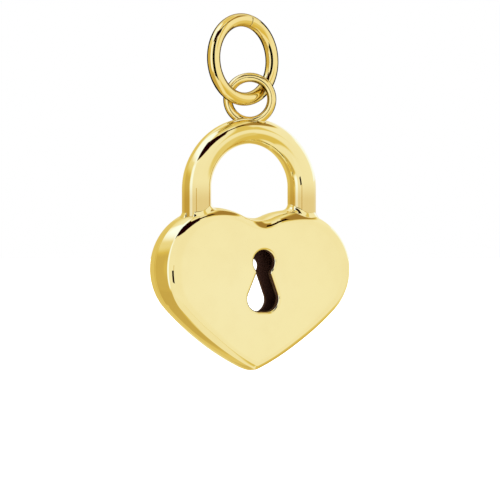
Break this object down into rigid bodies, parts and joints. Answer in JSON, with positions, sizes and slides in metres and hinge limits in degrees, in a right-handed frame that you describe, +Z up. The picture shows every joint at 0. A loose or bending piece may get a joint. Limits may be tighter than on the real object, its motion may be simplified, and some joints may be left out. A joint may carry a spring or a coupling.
{
  "type": "heart padlock charm",
  "caption": "Hollow heart padlock charm in polished yellow gold, with a keyhole, a fixed shackle and a small ring, hanging from a jump ring.",
  "frame": {"origin": "where the charm hangs: the inner top of the jump ring, on its wire", "axes": "+Z up, the way it hangs; front of the heart towards -Y; +X to the right of someone who faces the front"},
  "size_m": [0.0154, 0.0025, 0.0255],
  "materials": {
    "ring_gold": "polished yellow gold wire",
    "padlock_gold": "mirror polished yellow gold plate and tube"
  },
  "bodies": {
    "jump_ring": {"jump_ring": "ring_gold"},
    "padlock": {"padlock": "padlock_gold"}
  },
  "joints": [
    {"name": "padlock_swing", "type": "hinge", "parent": "jump_ring", "child": "padlock", "pos_m": [0.0006, 0.00004, -0.00517], "axis": [-0.4818, -0.8763, 0], "range_deg": [-60, 60]}
  ]
}
